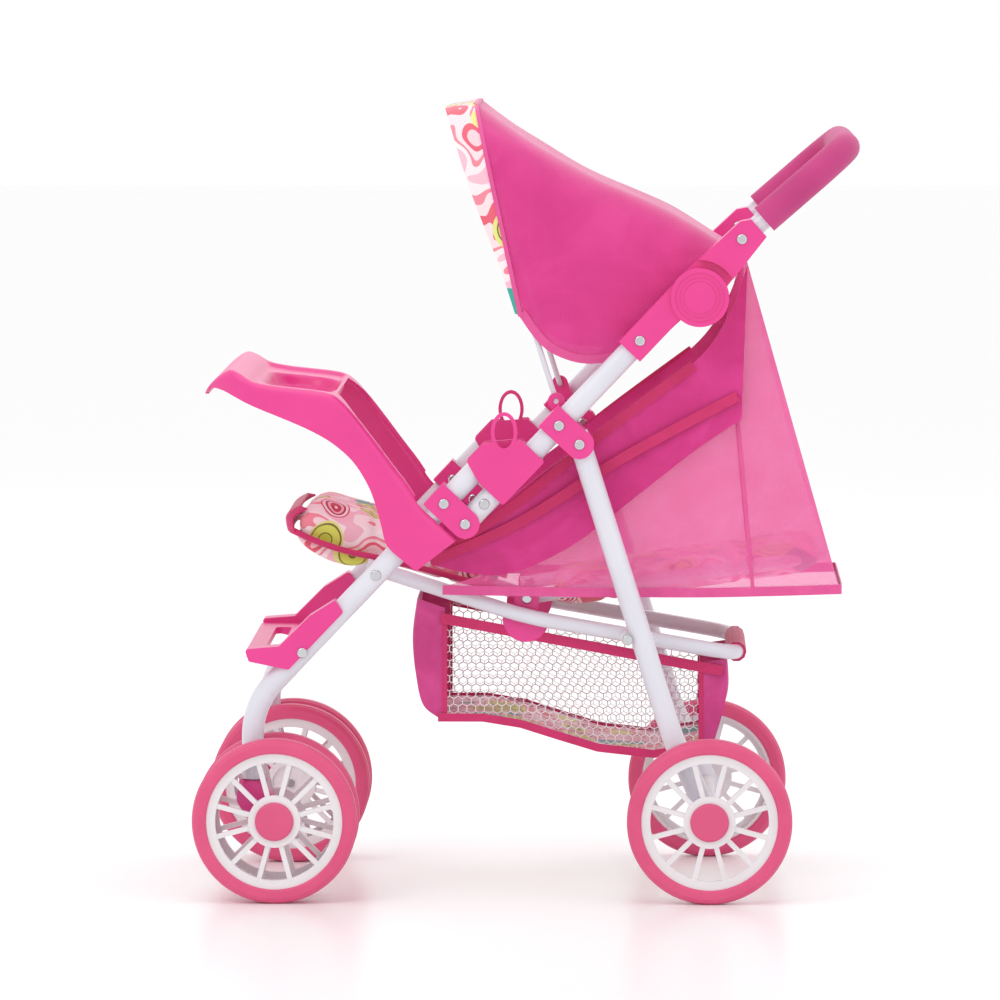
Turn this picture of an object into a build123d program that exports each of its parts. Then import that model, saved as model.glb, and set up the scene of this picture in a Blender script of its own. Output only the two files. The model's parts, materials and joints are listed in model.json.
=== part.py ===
"""Doll stroller: a folding steel frame on swivelling twin front wheels, with a play tray,
an adjustable push handle, a reclining seat, a canopy and a mesh basket under the seat.

Millimetres. The front of the stroller faces -Y, +Z is up and +X is the doll's left.
The origin is on the floor, in the middle of the stroller's length and width.
Points written as (y, z) are places in the side view.
"""
from build123d import *
from math import cos, hypot, radians, sin
import os

# ---- tubes and where the two side frames stand -----------------------------------------------
SIDE_X = 121.0              # middle of the leg and upper tubes
TUBE_R = 8.0
TUBE_WALL = 1.0
FIT = 0.05                  # play of a pin, stem or tube in its hole
GAP = 0.3                   # air beside a soft piece or between plates that move
PLATE = 2.4                 # moulded wall

# ---- pivots of the folding frame, (y, z) -----------------------------------------------------
KNEE = (-44.6, 275.3)       # front leg to upper tube
LEG_PIVOT = (38.3, 333.3)   # upper tube to rear leg
SEAT_FRONT = (-109.5, 237.9)    # front leg to seat tube
SEAT_REAR = (73.1, 191.0)   # rear leg to seat tube
HUB = (125.3, 440.0)        # upper tube to push handle
RECLINE = (-0.8, 203.4)     # seat tube to backrest
BOW_PIVOT = (21.0, 363.5)   # upper tube to canopy bow

# ---- wheels ----------------------------------------------------------------------------------
WHEEL_R = 60.0
TYRE_W = 18.0
TYRE_DEPTH = 10.5
RIM_W = 14.0
RIM_INNER_R = 43.0
HUB_RING_R = 19.0
CAP_R = 14.0
CAP_T = 5.0
CAP_SINK = 2.0              # how far the cap sits in the rim
SPOKES = 12
SPOKE_W = 3.6
AXLE_R = 3.0
SWIVEL_Y = -199.5
FRONT_AXLE = (-182.8, WHEEL_R)
REAR_AXLE = (133.0, WHEEL_R)
OUTER_WHEEL_X = SIDE_X + 20.5
INNER_WHEEL_X = SIDE_X - 20.5
REAR_WHEEL_X = SIDE_X + 20.5
SWIVEL_PIN_R = 3.5
LEG_FOOT_Z = 88.6           # lower end of the front leg

# ---- seat, backrest and basket ---------------------------------------------------------------
SEAT_X = 82.0
SEAT_TUBE_R = 5.5
BACK_X = 66.0
BACK_TUBE_R = 5.0
BACK_LENGTH = 222.0
BACK_ANGLE = 8.0            # the backrest lies back, this far above level
BASKET_HALF = 74.0
CLOTH = 1.5

# ---- push handle and canopy ------------------------------------------------------------------
HANDLE_X = 118.0
HANDLE_ANGLE = 41.0
HANDLE_OFFSET = 11.9        # handle axis above the hub centre
HANDLE_REACH = 150.0        # hub to the middle of the cross grip
GRIP_R = 11.0
HUB_R = 21.2
BUTTON_R = 11.5
BOW_X = 101.0
BOW_WIRE_R = 2.0
BOW_TOP = (-45.5, 571.0)
CANOPY_HALF = 106.0
CANOPY_CORNER = 44.0

parts = {}


# ---- small tools -----------------------------------------------------------------------------
def along(start, end):
    """Unit direction and length from one side-view point to another."""
    length = hypot(end[0] - start[0], end[1] - start[1])
    return ((end[0] - start[0]) / length, (end[1] - start[1]) / length), length


def beyond(point, direction, distance):
    """The side-view point a distance further along a direction."""
    return (point[0] + direction[0] * distance, point[1] + direction[1] * distance)


def on_line(origin, direction, forward, across):
    """Side-view point at a place along a direction and across it, to its upper left."""
    return (
        origin[0] + direction[0] * forward - direction[1] * across,
        origin[1] + direction[1] * forward + direction[0] * across,
    )


def turned(angle):
    return (cos(radians(angle)), sin(radians(angle)))


def rod(points, radius):
    """A round bar along straight runs with bends: each inner point is (x, y, z, bend radius)."""
    places = [point[:3] for point in points]
    if len(points) == 2:
        path = Line(*places)
    else:
        path = FilletPolyline(*places, radius=[point[3] for point in points[1:-1]])
    section = Plane(origin=path @ 0, z_dir=path % 0) * Circle(radius)
    return sweep(section, path=path)


def tube(points, radius, wall):
    return rod(points, radius) - rod(points, radius - wall)


def in_side(points, x):
    """Side-view points (y, z) or (y, z, bend radius) placed at one x."""
    return [(x, *point) for point in points]


def pin(y, z, x_from, x_to, radius):
    """A round bar across the stroller, from one x to another."""
    middle = (x_from + x_to) / 2
    return Pos(middle, y, z) * Rot(0, 90, 0) * Cylinder(radius, abs(x_to - x_from))


def plate(outline, x_from, x_to, corner=0.0):
    """A flat piece: a side-view outline, made from x_from to x_to, with rounded corners."""
    face = make_face(Polyline(*outline, close=True))
    if corner:
        face = fillet(face.vertices(), corner)
    low, high = min(x_from, x_to), max(x_from, x_to)
    return extrude(Plane.YZ.offset(low) * face, amount=high - low)


def lug(start, end, start_r, end_r, x_from, x_to):
    """A flat piece with two round ends."""
    rings = Pos(*start) * Circle(start_r), Pos(*end) * Circle(end_r)
    face = make_hull(ShapeList([edge for ring in rings for edge in ring.edges()]))
    low, high = min(x_from, x_to), max(x_from, x_to)
    return extrude(Plane.YZ.offset(low) * face, amount=high - low)


def rivet(y, z, x_from, x_to, shank_r=1.8, head_r=3.9, head_h=1.5):
    """A rivet across the stroller with a domed head outside each end."""
    low, high = min(x_from, x_to), max(x_from, x_to)
    head = Cylinder(head_r, head_h)
    head = fillet(head.edges().group_by(Axis.Z)[-1], head_h * 0.95)
    whole = pin(y, z, low, high, shank_r)
    whole += Pos(high + head_h / 2, y, z) * Rot(0, 90, 0) * head
    whole += Pos(low - head_h / 2, y, z) * Rot(0, -90, 0) * head
    return whole


def hole(point, radius=1.8):
    """A drill through everything at one side-view point."""
    return pin(point[0], point[1], -170, 170, radius + FIT)


def both(piece):
    """A left piece and its mirror image, as one group."""
    return Compound(children=[*piece.solids(), *mirror(piece, about=Plane.YZ).solids()])


def add(name, piece):
    parts[name] = piece


def add_pair(name, piece):
    """Adds a left piece and its mirror image as one node."""
    add(name, both(piece))


def add_sides(name, piece):
    """Adds a left piece and its mirror image as two nodes."""
    add(f"{name}_left", piece)
    add(f"{name}_right", mirror(piece, about=Plane.YZ))


# ---- front legs ------------------------------------------------------------------------------
LEG_DIR = turned(46.6)
LEG_ELBOW = (SWIVEL_Y, 142.7)
LEG_RIVET = (-60.1, 290.1)
LEG_TOP = (-27.0, 325.0)
LEG_BEND_R = 56.0
leg_path = [(SWIVEL_Y, LEG_FOOT_Z), (*LEG_ELBOW, LEG_BEND_R), LEG_TOP]
front_leg = tube(in_side(leg_path, SIDE_X), TUBE_R, TUBE_WALL)
leg_clearance = rod(in_side(leg_path, SIDE_X), TUBE_R + FIT)
FOOTREST_RIVET = (-163.0, 181.4)
for place in (LEG_RIVET, SEAT_FRONT, FOOTREST_RIVET):
    front_leg -= hole(place)
add_pair("front_legs", front_leg)

BUSH_H = 22.0
swivel_bush = Pos(SIDE_X, SWIVEL_Y, LEG_FOOT_Z + BUSH_H / 2) * (
    Cylinder(TUBE_R - TUBE_WALL - FIT, BUSH_H) - Cylinder(SWIVEL_PIN_R + FIT, BUSH_H)
)
add_pair("swivel_bushes", swivel_bush)


# ---- brackets that join the tubes: channels open to the rear ---------------------------------
BRACKET_IN = SIDE_X - TUBE_R - FIT - PLATE
BRACKET_OUT = SIDE_X + TUBE_R + FIT + PLATE
BRACKET_W = 21.0
KNEE_SWEEP_R = 13.5         # the foot of the upper tube turns inside this radius


def channel(tube_rivet, pivot, direction):
    """Two cheeks round a tube, joined by a web in front of it, that carry a pivot behind it."""
    half = BRACKET_W / 2
    corners = [
        on_line(tube_rivet, direction, -half, TUBE_R + PLATE + FIT),
        on_line(tube_rivet, direction, half, TUBE_R + PLATE + FIT),
        on_line(pivot, direction, half, 0),
        on_line(pivot, direction, -half, 0),
    ]
    block = plate(corners, BRACKET_IN, BRACKET_OUT)
    block += pin(*pivot, BRACKET_IN, BRACKET_OUT, half)
    inside = [
        on_line(tube_rivet, direction, -40, TUBE_R + FIT),
        on_line(tube_rivet, direction, 40, TUBE_R + FIT),
        on_line(pivot, direction, 40, -40),
        on_line(pivot, direction, -40, -40),
    ]
    block -= plate(inside, BRACKET_IN + PLATE, BRACKET_OUT - PLATE)
    return block - hole(tube_rivet) - hole(pivot)


lower_bracket = channel(LEG_RIVET, KNEE, LEG_DIR)
add_pair("lower_brackets", lower_bracket)


def knee_room():
    """Space that the lower bracket and the turning foot of the upper tube need, beside the tray."""
    half = BRACKET_W / 2 + GAP
    web = TUBE_R + PLATE + FIT + GAP
    corners = [
        on_line(LEG_RIVET, LEG_DIR, -half, web),
        on_line(LEG_RIVET, LEG_DIR, half, web),
        on_line(KNEE, LEG_DIR, half, 0),
        on_line(KNEE, LEG_DIR, -half, 0),
    ]
    room = plate(corners, BRACKET_IN - 1, BRACKET_OUT + 10)
    room += pin(*KNEE, BRACKET_IN - 1, BRACKET_OUT + 10, half)
    return room + pin(*KNEE, BRACKET_IN - 1, SIDE_X + TUBE_R + 1, KNEE_SWEEP_R)


# ---- upper tubes -----------------------------------------------------------------------------
UPPER_DIR = turned(46.5)
HUB_ARM_RIVET = on_line(KNEE, UPPER_DIR, 183.9, 0)
STOP_RIVET = on_line(KNEE, UPPER_DIR, 20.1, 0)
UPPER_TOP = beyond(HUB_ARM_RIVET, UPPER_DIR, 13.0)
upper_tube = tube(in_side([beyond(KNEE, UPPER_DIR, -8.5), UPPER_TOP], SIDE_X), TUBE_R, TUBE_WALL)
UPPER_RIVET = on_line(KNEE, UPPER_DIR, 98.8, 0)
upper_bracket = channel(UPPER_RIVET, LEG_PIVOT, UPPER_DIR)
for place in (KNEE, STOP_RIVET, UPPER_RIVET, HUB_ARM_RIVET):
    upper_tube -= hole(place)
add_pair("upper_tubes", upper_tube)
add_pair("upper_brackets", upper_bracket)

# ---- lock sleeves: slide on the upper tubes and hold the tops of the front legs --------------
SLEEVE_FROM, SLEEVE_TO = 28.8, 72.6     # along the upper tube, from the knee
SLEEVE_IN = SIDE_X - TUBE_R - 0.1 - PLATE
SLEEVE_OUT = SIDE_X + TUBE_R + 0.1 + PLATE
RING_ALONG, RING_ACROSS = 68.0, 25.6


def lock_sleeve():
    back = -(TUBE_R + 0.1 + PLATE)
    outline = [
        on_line(KNEE, UPPER_DIR, SLEEVE_FROM, back),
        on_line(KNEE, UPPER_DIR, SLEEVE_TO, back),
        on_line(KNEE, UPPER_DIR, SLEEVE_TO, 12.0),
        on_line(KNEE, UPPER_DIR, 52.0, 31.0),
        on_line(KNEE, UPPER_DIR, 34.0, 31.0),
        on_line(KNEE, UPPER_DIR, SLEEVE_FROM, 14.0),
    ]
    body = plate(outline, SLEEVE_IN, SLEEVE_OUT, corner=2.0)
    around_tube = [
        on_line(KNEE, UPPER_DIR, 0, -TUBE_R - 0.1),
        on_line(KNEE, UPPER_DIR, 110, -TUBE_R - 0.1),
        on_line(KNEE, UPPER_DIR, 110, TUBE_R + 0.1),
        on_line(KNEE, UPPER_DIR, 0, TUBE_R + 0.1),
    ]
    around_leg = [
        on_line(KNEE, UPPER_DIR, 0, TUBE_R + 0.1 + PLATE),
        on_line(KNEE, UPPER_DIR, 110, TUBE_R + 0.1 + PLATE),
        on_line(KNEE, UPPER_DIR, 110, 60),
        on_line(KNEE, UPPER_DIR, 0, 60),
    ]
    for hollow in (around_tube, around_leg):
        body -= plate(hollow, SLEEVE_IN + PLATE, SLEEVE_OUT - PLATE)
    ring_at = on_line(KNEE, UPPER_DIR, RING_ALONG, RING_ACROSS)
    ring = Plane.YZ.offset(SLEEVE_OUT - PLATE) * Pos(*ring_at) * Ellipse(9.6, 14.5)
    finger = Plane.YZ.offset(SLEEVE_OUT - PLATE - 1) * Pos(*ring_at) * Ellipse(7.0, 11.8)
    body += extrude(ring, amount=PLATE)
    return body - extrude(finger, amount=PLATE + 2)


add_sides("lock_sleeve", lock_sleeve())

# ---- play tray: a table with a recess, on two arms clipped to the front legs -----------------
TRAY_OUT = SIDE_X + TUBE_R + PLATE + 1.2
TRAY_WALL = 2.4
TRAY_FRONT, TRAY_TOP = -235.5, 377.0
TABLE_REAR = -134.0
TABLE_T = 8.0                 # depth of the table's edge
ARM_FLANGE = 9.0              # width of the flange round each arm
RECESS = (162.0, 54.0, 7.0)             # across, fore and aft, deep
RECESS_Y = -171.0


def tray_side():
    """Side-view face of the whole tray, table and arms."""
    edges = [
        ThreePointArc((TRAY_FRONT, 371.0), (-187.0, 358.0), (-140.0, 332.0)),
        ThreePointArc((-140.0, 332.0), (-110.0, 292.0), (-91.4, 252.1)),
        Polyline((-91.4, 252.1), (-79.9, 240.8), (-46.9, 266.3), (-69.5, 292.8)),
        ThreePointArc((-69.5, 292.8), (-104.0, 333.0), (-129.0, 379.5)),
        Polyline((-129.0, 379.5), (-150.0, TRAY_TOP), (-200.0, TRAY_TOP), (-228.0, 380.0)),
        Line((-228.0, 380.0), (TRAY_FRONT, 371.0)),
    ]
    return make_face(edges)


def tray():
    """The table is hollow from below, and each arm is a wall with a flange along its edges."""
    side = tray_side()
    width = 2 * TRAY_OUT
    plan = Pos(0, TRAY_FRONT + 119) * RectangleRounded(width + 4, 240, 46)
    plan += Pos(0, -80) * Rectangle(width + 4, 180)
    whole = extrude(Plane.YZ.offset(-TRAY_OUT) * side, amount=width)
    whole = whole & (Pos(0, 0, 200) * extrude(plan, amount=250))
    arm_inside = TRAY_OUT - ARM_FLANGE
    table_under = TRAY_TOP - TABLE_T
    whole = whole - Pos(0, -110, 200) * Box(2 * arm_inside, 300, 2 * (table_under - 200))
    whole = whole - Pos(0, TABLE_REAR + 100, TRAY_TOP) * Box(2 * arm_inside, 200, 100)
    pocket = offset(side, amount=-TRAY_WALL)
    pocket_depth = ARM_FLANGE + 1 - TRAY_WALL
    for start in (arm_inside - 1, -TRAY_OUT + TRAY_WALL):
        below = extrude(Plane.YZ.offset(start) * pocket, amount=pocket_depth)
        below = below & Pos(0, -110, 200) * Box(400, 300, 2 * (table_under - 2 - 200))
        whole = whole - below
    length, width, depth = RECESS
    dish = extrude(SlotOverall(length, width), amount=depth + 8)
    floor = extrude(SlotOverall(length + 2 * TRAY_WALL, width + 2 * TRAY_WALL), amount=TRAY_WALL)
    whole = whole - Pos(0, RECESS_Y, TRAY_TOP - depth) * dish
    whole = whole + Pos(0, RECESS_Y, TRAY_TOP - depth - TRAY_WALL) * floor
    taken = leg_clearance + knee_room()
    return whole - taken - mirror(taken, about=Plane.YZ)


add("tray", tray())

# ---- footrest: a slotted step between the legs, with a clip round each leg -------------------
STEP_FRONT, STEP_REAR, STEP_Z, STEP_T = -205.0, -167.5, 176.0, 5.0
SLOT = (150.0, 12.0)


def footrest():
    step = Pos(0, (STEP_FRONT + STEP_REAR) / 2, STEP_Z) * extrude(
        RectangleRounded(2 * (SIDE_X - TUBE_R) - 4, STEP_REAR - STEP_FRONT, 6), amount=STEP_T
    )
    step -= Pos(0, (STEP_FRONT + STEP_REAR) / 2, STEP_Z - 1) * extrude(
        SlotOverall(*SLOT), amount=STEP_T + 2
    )
    clip = [
        (STEP_FRONT, 184.0),
        (STEP_FRONT + 3, 175.0),
        (-173.0, 169.0),
        (-133.0, 211.0),
        (-139.0, 220.0),
        (-158.0, 208.0),
        (-180.0, 186.0),
    ]
    inner, outer = SIDE_X - TUBE_R - PLATE - FIT, SIDE_X + TUBE_R + PLATE + FIT
    side = plate(clip, inner, outer, corner=2.2)
    side -= leg_clearance
    side -= hole(FOOTREST_RIVET)
    step += side
    step += mirror(side, about=Plane.YZ)
    return step


add("footrest", footrest())

# ---- casters ---------------------------------------------------------------------------------
CASTER_IN, CASTER_OUT = SIDE_X - 10.2, SIDE_X + 10.2
CASTER_TOP = LEG_FOOT_Z - 0.6
caster = lug((SWIVEL_Y, 76.0), FRONT_AXLE, 11.5, 10.0, CASTER_IN, CASTER_OUT)
caster += Pos(SIDE_X, SWIVEL_Y, (76 + CASTER_TOP) / 2) * Cylinder(10.2, CASTER_TOP - 76)
caster -= pin(*FRONT_AXLE, CASTER_IN - 1, CASTER_OUT + 1, AXLE_R + FIT)
PIN_TOP, PIN_FOOT = LEG_FOOT_Z + BUSH_H - 2, 74.0
PIN_LENGTH = PIN_TOP - PIN_FOOT
swivel_pin = Pos(SIDE_X, SWIVEL_Y, PIN_FOOT + PIN_LENGTH / 2) * Cylinder(SWIVEL_PIN_R, PIN_LENGTH)
swivel_hole = Pos(SIDE_X, SWIVEL_Y, PIN_FOOT + PIN_LENGTH / 2) * Cylinder(
    SWIVEL_PIN_R + 0.01, PIN_LENGTH
)
add_sides("caster_housing", caster - swivel_hole)
add_sides("swivel_pin", swivel_pin)
AXLE_END = 4.5              # the axle ends this far inside the wheel's outer face
front_axle = pin(
    *FRONT_AXLE, INNER_WHEEL_X - TYRE_W / 2 + 2, OUTER_WHEEL_X + TYRE_W / 2 - AXLE_END, AXLE_R
)
add_sides("front_axle", front_axle)


# ---- wheels: tyre, spoked rim and hub cap ----------------------------------------------------
def tyre():
    """A soft ring with a raised line at each edge of the tread. It turns about the X axis."""
    half = TYRE_W / 2
    inner = WHEEL_R - TYRE_DEPTH
    section = [
        (-half + 1, inner),
        (-half, inner + 1.5),
        (-half, WHEEL_R - 4),
        (-half + 1.6, WHEEL_R - 1.2),
        (-half + 3.6, WHEEL_R - 0.6),
        (-half + 4.2, WHEEL_R),
    ]
    mirrored = [(-x, r) for x, r in reversed(section)]
    return revolve(make_face(Polyline(*section, *mirrored, close=True)), axis=Axis.X)


def rim():
    """Outer band, hub ring and straight spokes, about the X axis."""
    half = RIM_W / 2
    seat = WHEEL_R - TYRE_DEPTH
    band = Rot(0, 90, 0) * (Cylinder(seat, RIM_W) - Cylinder(seat - 2.2, RIM_W + 2))
    face_ring = Rot(0, 90, 0) * (Cylinder(seat - 2.0, 5) - Cylinder(RIM_INNER_R, 6))
    web_x = half - 3.0
    whole = band + Pos(web_x, 0, 0) * face_ring
    hub = Rot(0, 90, 0) * Cylinder(HUB_RING_R, 6)
    whole += Pos(web_x, 0, 0) * hub
    whole += Rot(0, 90, 0) * Cylinder(7.0, RIM_W)
    length = RIM_INNER_R - HUB_RING_R + 3
    middle = (RIM_INNER_R + HUB_RING_R) / 2
    for turn in range(SPOKES):
        spoke = Pos(web_x, 0, middle) * Box(4.0, SPOKE_W, length)
        whole += Rot(360 / SPOKES * (turn + 0.5), 0, 0) * spoke
    whole -= Pos(half, 0, 0) * Rot(0, 90, 0) * Cylinder(CAP_R + FIT, 2 * CAP_SINK)
    return whole - Rot(0, 90, 0) * Cylinder(AXLE_R + FIT, 2 * RIM_W)


def hub_cap():
    """A shallow disc with a rounded edge that hides the axle's end, about the X axis."""
    disc = Cylinder(CAP_R, CAP_T)
    disc = fillet(disc.edges().group_by(Axis.Z)[-1], 2.0)
    return Pos(RIM_W / 2 - CAP_SINK + CAP_T / 2, 0, 0) * Rot(0, 90, 0) * disc


INWARDS = Rot(0, 0, 180)    # the inner wheel shows its spokes to the middle of the stroller
outer_at = Pos(OUTER_WHEEL_X, *FRONT_AXLE)
inner_at = Pos(INNER_WHEEL_X, *FRONT_AXLE)
front_tyres = [*(outer_at * tyre()).solids(), *(inner_at * tyre()).solids()]
add_sides("tyre_front", Compound(children=front_tyres))
front_rims = [*(outer_at * rim()).solids(), *(inner_at * INWARDS * rim()).solids()]
add_sides("rim_front", Compound(children=front_rims))
add_sides("cap_front", outer_at * hub_cap())
rear_at = Pos(REAR_WHEEL_X, *REAR_AXLE)
add_sides("tyre_rear", rear_at * tyre())
add_sides("rim_rear", rear_at * rim())
add_sides("cap_rear", rear_at * hub_cap())

# ---- rear legs and axle ----------------------------------------------------------------------
REAR_TOP_DIR, _ = along(LEG_PIVOT, SEAT_REAR)
REAR_BEND = (106.4, 118.6, 90.0)        # y, z and bend radius
REAR_FOOT_DIR = (0.414, -0.910)
rear_path = [
    beyond(LEG_PIVOT, REAR_TOP_DIR, -8.5),
    REAR_BEND,
    beyond(REAR_AXLE, REAR_FOOT_DIR, 8.0),
]
rear_leg = tube(in_side(rear_path, SIDE_X), TUBE_R, TUBE_WALL)
rear_leg -= hole(LEG_PIVOT)
rear_leg -= hole(SEAT_REAR)
rear_leg -= hole(REAR_AXLE, AXLE_R)
add_sides("rear_leg", rear_leg)
add("rear_axle", pin(*REAR_AXLE, -REAR_WHEEL_X - 4.5, REAR_WHEEL_X + 4.5, AXLE_R))
SLEEVE_R = 5.0
sleeve_half = SIDE_X - TUBE_R - FIT
cross_sleeve = pin(*REAR_AXLE, -sleeve_half, sleeve_half, SLEEVE_R)
cross_sleeve -= pin(*REAR_AXLE, -sleeve_half - 1, sleeve_half + 1, AXLE_R + FIT)
add("rear_axle_sleeve", cross_sleeve)

# ---- seat frame: a tube bent round the rear of the seat --------------------------------------
SEAT_BACK = (153.0, 176.5)
SEAT_NOSE = beyond(SEAT_FRONT, (-0.94, 0.34), 9.0)
seat_path = [
    (SEAT_X, *SEAT_NOSE),
    (SEAT_X, *RECLINE, 300.0),
    (SEAT_X, *SEAT_BACK, 22.0),
    (-SEAT_X, *SEAT_BACK, 22.0),
    (-SEAT_X, *RECLINE, 300.0),
    (-SEAT_X, *SEAT_NOSE),
]
seat_tube = tube(seat_path, SEAT_TUBE_R, TUBE_WALL)
seat_tube -= hole(SEAT_FRONT)
add("seat_tube", seat_tube)

# spacer bushes hold the seat tube clear of the legs
SPACER_R = 5.0
REAR_SPACE = 2.6            # air between the seat tube and the rear spacer, for the open pivot
spacer_out = SIDE_X - TUBE_R - FIT
front_spacer = pin(*SEAT_FRONT, SEAT_X + SEAT_TUBE_R + FIT, spacer_out, SPACER_R) - hole(SEAT_FRONT)
add_pair("seat_spacers_front", front_spacer)
rear_spacer_in = SEAT_X + SEAT_TUBE_R + REAR_SPACE
rear_spacer = pin(*SEAT_REAR, rear_spacer_in, spacer_out, SPACER_R) - hole(SEAT_REAR)
add_pair("seat_spacers_rear", rear_spacer)

# ---- recline brackets and backrest -----------------------------------------------------------
BRACKET_T = 2.6
bracket_in = BACK_X + BACK_TUBE_R + 0.2
bracket_out = SEAT_X - SEAT_TUBE_R - 0.05
PIVOT_UP = 13.0             # the backrest turns this far above the seat tube
BACK_PIVOT = (RECLINE[0], RECLINE[1] + PIVOT_UP)
recline_bracket = lug(RECLINE, BACK_PIVOT, 7.5, 9.0, bracket_in, bracket_out)
recline_bracket -= hole(BACK_PIVOT)
add_pair("recline_brackets", recline_bracket)

BACK_DIR = turned(BACK_ANGLE)
back_end = beyond(BACK_PIVOT, BACK_DIR, BACK_LENGTH - BACK_TUBE_R)
back_start = beyond(BACK_PIVOT, BACK_DIR, -7.0)
backrest_tube = tube(
    [
        (BACK_X, *back_start),
        (BACK_X, *back_end, 24.0),
        (-BACK_X, *back_end, 24.0),
        (-BACK_X, *back_start),
    ],
    BACK_TUBE_R,
    TUBE_WALL,
)
backrest_tube -= hole(BACK_PIVOT)
add("backrest_tube", backrest_tube)
PAD_FROM, PAD_TO = 14.0, 191.0          # along the backrest, from its pivot
PAD_BELOW, PAD_ABOVE = -5.5, 6.0
back_pad = [
    on_line(BACK_PIVOT, BACK_DIR, PAD_FROM, PAD_BELOW),
    on_line(BACK_PIVOT, BACK_DIR, PAD_TO, PAD_BELOW),
    on_line(BACK_PIVOT, BACK_DIR, PAD_TO, PAD_ABOVE),
    on_line(BACK_PIVOT, BACK_DIR, PAD_FROM, PAD_ABOVE),
]
back_pad_half = BACK_X - BACK_TUBE_R - GAP
add("backrest_pad", plate(back_pad, -back_pad_half, back_pad_half, corner=2.0))

# ---- seat pad, with the roll at its front edge that carries the doll's knees -----------------
PAD_HALF = 68.0
seat_outline = [
    (-172.0, 284.0),
    (-111.5, 266.5),
    (-60.0, 247.0),
    (-14.0, 234.0),
    (-14.0, 217.5),
    (-60.0, 230.0),
    (-104.0, 247.0),
    (-130.0, 232.0),
    (-163.0, 244.0),
    (-178.0, 262.0),
]
add("seat_pad", plate(seat_outline, -PAD_HALF, PAD_HALF, corner=3.0))

# ---- basket: an open bag hung under the seat tube --------------------------------------------
basket_top_front, basket_top_rear = (-72.0, 205.0), (142.0, 165.0)
basket_outline = [basket_top_front, (-66.0, 128.6), (92.0, 101.0), (134.0, 108.0), basket_top_rear]
basket_hollow = [
    (-70.3, 240.0),
    (-64.4, 130.0),
    (92.0, 102.6),
    (132.8, 109.4),
    (150.0, 240.0),
]
basket = plate(basket_outline, -BASKET_HALF, BASKET_HALF)
basket -= plate(basket_hollow, -BASKET_HALF + CLOTH, BASKET_HALF - CLOTH)
add("basket", basket)

# ---- hubs, push handle and buttons -----------------------------------------------------------
HUB_FACE = 134.0
HUB_SPLIT = SIDE_X + 0.5    # outside it the hub belongs to the upper tube, inside it to the handle
ARM_HALF = 10.5
hub_housing = pin(*HUB, HUB_SPLIT, HUB_FACE, HUB_R)
arm_outline = [
    on_line(HUB_ARM_RIVET, UPPER_DIR, -11.0, ARM_HALF),
    on_line(HUB_ARM_RIVET, UPPER_DIR, 56.0, ARM_HALF),
    on_line(HUB_ARM_RIVET, UPPER_DIR, 40.0, -ARM_HALF),
    on_line(HUB_ARM_RIVET, UPPER_DIR, -11.0, -ARM_HALF),
]
arm = plate(arm_outline, BRACKET_IN, BRACKET_OUT)
arm -= pin(*HUB, 90, HUB_SPLIT, HUB_R + 0.6)
hub_housing += arm
tube_end = [on_line(HUB_ARM_RIVET, UPPER_DIR, -30, 0), UPPER_TOP]
hub_housing -= rod(in_side(tube_end, SIDE_X), TUBE_R + FIT)
hub_housing -= hole(HUB_ARM_RIVET)
BUTTON_FLOOR = HUB_FACE - 8.0
hub_housing -= pin(*HUB, BUTTON_FLOOR, HUB_FACE + 1, BUTTON_R + FIT)
groove = pin(*HUB, HUB_FACE - 0.8, HUB_FACE + 1, 18.0) - pin(*HUB, HUB_FACE - 1, HUB_FACE + 2, 14.0)
hub_housing -= groove
HUB_PIN_R = 4.0
hub_pin_hole = pin(*HUB, 90, BUTTON_FLOOR - 2, HUB_PIN_R + FIT)
hub_housing -= hub_pin_hole
add_sides("hub_housing", hub_housing)
add_sides("hub_button", pin(*HUB, HUB_FACE - 4.2, HUB_FACE + 0.6, BUTTON_R))
HUB_SPRING_R = 6.0
spring_gap = (BUTTON_FLOOR, HUB_FACE - 4.2)
SPRING_WIRE = 1.2
spring = pin(*HUB, *spring_gap, HUB_SPRING_R)
spring -= pin(*HUB, BUTTON_FLOOR - 1, HUB_FACE, HUB_SPRING_R - SPRING_WIRE)

HANDLE_DIR = turned(HANDLE_ANGLE)
handle_root = on_line(HUB, HANDLE_DIR, 30.0, HANDLE_OFFSET)
HANDLE_RIVET = on_line(HUB, HANDLE_DIR, 50.5, HANDLE_OFFSET)
handle_far = on_line(HUB, HANDLE_DIR, HANDLE_REACH, HANDLE_OFFSET)
HANDLE_BEND_R = 34.0
handle_path = [
    (HANDLE_X, *handle_root),
    (HANDLE_X, *handle_far, HANDLE_BEND_R),
    (-HANDLE_X, *handle_far, HANDLE_BEND_R),
    (-HANDLE_X, *handle_root),
]
HANDLE_TUBE_R = 7.0
handle_tube = tube(handle_path, HANDLE_TUBE_R, TUBE_WALL)
handle_tube -= hole(HANDLE_RIVET)
add("handle_tube", handle_tube)
grip_start = on_line(HUB, HANDLE_DIR, 72.0, HANDLE_OFFSET)
grip_path = [
    (HANDLE_X, *grip_start),
    (HANDLE_X, *handle_far, HANDLE_BEND_R),
    (-HANDLE_X, *handle_far, HANDLE_BEND_R),
    (-HANDLE_X, *grip_start),
]
add("handle_grip", rod(grip_path, GRIP_R) - rod(handle_path, HANDLE_TUBE_R + 0.01))
arm_in, arm_out = HANDLE_X - HANDLE_TUBE_R - PLATE, HANDLE_X + HANDLE_TUBE_R + PLATE
handle_arm = pin(*HUB, arm_in, HUB_SPLIT - GAP, HUB_R - 0.7)
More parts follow.
